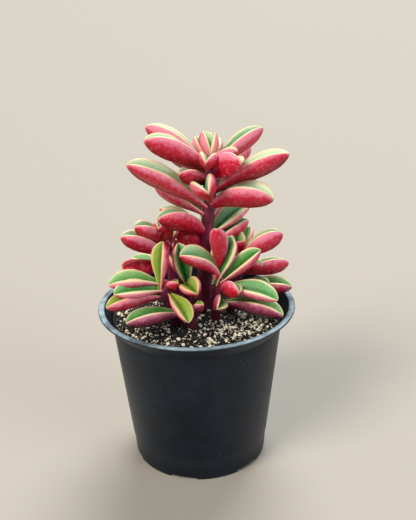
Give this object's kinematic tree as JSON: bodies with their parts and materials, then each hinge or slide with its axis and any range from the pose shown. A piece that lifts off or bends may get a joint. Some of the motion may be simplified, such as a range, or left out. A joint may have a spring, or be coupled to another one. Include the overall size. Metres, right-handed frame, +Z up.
{
  "type": "potted plant",
  "caption": "Small succulent with boat-shaped ruby and green leaves on upright fleshy stems, growing in a round tapered black nursery pot filled with potting mix.",
  "frame": {"origin": "middle of the pot's foot, on the surface it stands on", "axes": "+Z up along the pot's axis, -Y the front that the picture faces, +X the right-hand side seen from the front"},
  "size_m": [0.105, 0.105, 0.1847],
  "materials": {
    "pot": "semi-gloss moulded polypropylene, almost black",
    "soil": "moist dark peat with pale perlite; stands in for potting mix",
    "leaves": "waxy succulent leaf, ruby underneath with a green window and cream rims; stands in for plant tissue"
  },
  "bodies": {
    "root": {"pot": "pot", "soil": "soil", "main_shoot": "leaves", "left_back_shoot": "leaves", "left_shoot": "leaves", "front_left_shoot": "leaves", "middle_shoot": "leaves", "right_front_shoot": "leaves", "right_shoot": "leaves", "back_shoot": "leaves"}
  },
  "joints": []
}
